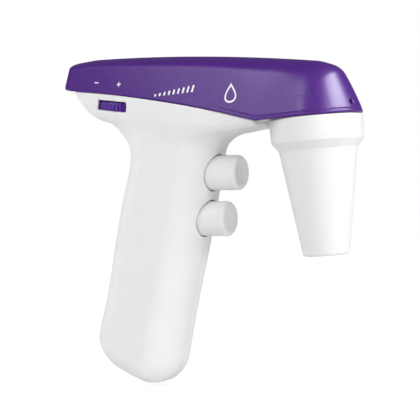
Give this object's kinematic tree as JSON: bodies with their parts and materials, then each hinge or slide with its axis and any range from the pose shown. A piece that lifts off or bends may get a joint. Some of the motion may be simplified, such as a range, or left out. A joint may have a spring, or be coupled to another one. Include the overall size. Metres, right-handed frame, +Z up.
{
  "type": "motorized pipette controller",
  "caption": "Pistol-shaped motorized pipette controller with a top cover, two finger buttons, a speed thumbwheel and a screw-on nose cone that holds a pipette.",
  "frame": {"origin": "middle of the pipette socket on the nose axis, 49 mm below the seat where the nose cone's collar meets the top cover", "axes": "+Z up along the nose axis away from the pipette, +X forward towards the nose's rounded front, Y across the width with the housing split at Y = 0"},
  "size_m": [0.1511, 0.044, 0.1619],
  "materials": {
    "white_plastic": "satin, fine moulded grain",
    "nose_plastic": "satin",
    "purple_plastic": "satin, fine spark-eroded grain",
    "screw_steel": "zinc plated",
    "spring_steel": "drawn wire",
    "grey_plastic": "satin",
    "filter_plastic": "clear polypropylene look",
    "membrane": "matt",
    "silicone": "soft translucent look",
    "seal_rubber": "matt",
    "stem_steel": "ground",
    "board_laminate": "solder mask",
    "black_plastic": "moulded",
    "pump_plastic": "glass-filled",
    "motor_metal": "plated can",
    "brass": "turned",
    "magnet": "sintered ferrite",
    "lamp": "unlit smoked lens",
    "lead_jacket": "insulated wire",
    "cell_sleeve": "shrink sleeve"
  },
  "bodies": {
    "controller_body": {"grip_shell_left": "white_plastic", "grip_shell_right": "white_plastic", "top_cover": "purple_plastic", "housing_screws": "screw_steel", "nose_spigot": "grey_plastic", "filter_case_top": "filter_plastic", "filter_case_bottom": "filter_plastic", "filter_membrane": "membrane", "pipette_adapter": "silicone", "check_valve": "silicone", "aspirate_spring": "spring_steel", "aspirate_stem_seals": "seal_rubber", "dispense_spring": "spring_steel", "dispense_stem_seals": "seal_rubber", "valve_block": "grey_plastic", "switch_board": "board_laminate", "motor_switches": "black_plastic", "suction_hose": "silicone", "pressure_hose": "silicone", "nose_hose": "silicone", "pump_head": "pump_plastic", "pump_flap_valves": "seal_rubber", "pump_valve_plate": "pump_plastic", "pump_diaphragm": "seal_rubber", "pump_crankcase": "pump_plastic", "crankcase_cover": "pump_plastic", "pump_screws": "screw_steel", "motor_can": "motor_metal", "motor_end_cap": "grey_plastic", "motor_bushes": "brass", "motor_magnets": "magnet", "motor_sleeve": "seal_rubber", "motor_saddles": "grey_plastic", "motor_screws": "screw_steel", "potentiometer": "black_plastic", "circuit_board": "board_laminate", "board_components": "black_plastic", "charge_socket": "motor_metal", "status_led": "lamp", "status_lead": "lead_jacket", "motor_leads": "lead_jacket", "battery_cells": "cell_sleeve", "battery_contacts": "brass", "battery_cradle": "grey_plastic", "battery_leads": "lead_jacket"},
    "aspirate_trigger": {"aspirate_button": "white_plastic", "aspirate_stem": "stem_steel"},
    "dispense_trigger": {"dispense_button": "white_plastic", "dispense_stem": "stem_steel"},
    "speed_dial": {"speed_wheel": "purple_plastic", "potentiometer_shaft": "stem_steel"},
    "motor_drive": {"motor_shaft": "stem_steel", "motor_rotor": "motor_metal", "eccentric_hub": "brass"},
    "pump_rod": {"connecting_rod": "pump_plastic", "rod_bearing": "stem_steel"},
    "nose_seal": {"nose_o_ring": "seal_rubber"},
    "nose_cone": {"adapter_housing": "nose_plastic"}
  },
  "joints": [
    {"name": "aspirate_press", "type": "slide", "parent": "controller_body", "child": "aspirate_trigger", "axis": [-0.9977, 0, 0.068], "range_m": [0, 0.005], "stiffness_N_per_m": 350, "springref_m": -0.002, "deforming": ["aspirate_spring"]},
    {"name": "dispense_press", "type": "slide", "parent": "controller_body", "child": "dispense_trigger", "axis": [-0.9977, 0, 0.068], "range_m": [0, 0.005], "stiffness_N_per_m": 350, "springref_m": -0.002, "deforming": ["dispense_spring"]},
    {"name": "speed_turn", "type": "hinge", "parent": "controller_body", "child": "speed_dial", "pos_m": [-0.0973, 0, 0.0635], "axis": [0.1822, 0, 0.9833], "range_deg": [-135, 135]},
    {"name": "motor_spin", "type": "hinge", "parent": "controller_body", "child": "motor_drive", "pos_m": [-0.0445, 0, 0.0672], "axis": [1, 0, 0], "continuous": true},
    {"name": "rod_orbit", "type": "hinge", "parent": "motor_drive", "child": "pump_rod", "pos_m": [-0.0445, 0, 0.0662], "axis": [1, 0, 0], "continuous": true},
    {"name": "cone_unscrew", "type": "hinge", "parent": "controller_body", "child": "nose_seal", "pos_m": [0, 0, 0.049], "axis": [0, 0, -1], "range_deg": [0, 540]},
    {"name": "cone_lower", "type": "slide", "parent": "nose_seal", "child": "nose_cone", "axis": [0, 0, -1], "range_m": [0, 0.0045]}
  ],
  "couplings": [
    {"joint": "rod_orbit", "follows": "motor_spin", "ratio": -1},
    {"joint": "cone_lower", "follows": "cone_unscrew", "m_per_rad": 0.00047746}
  ]
}
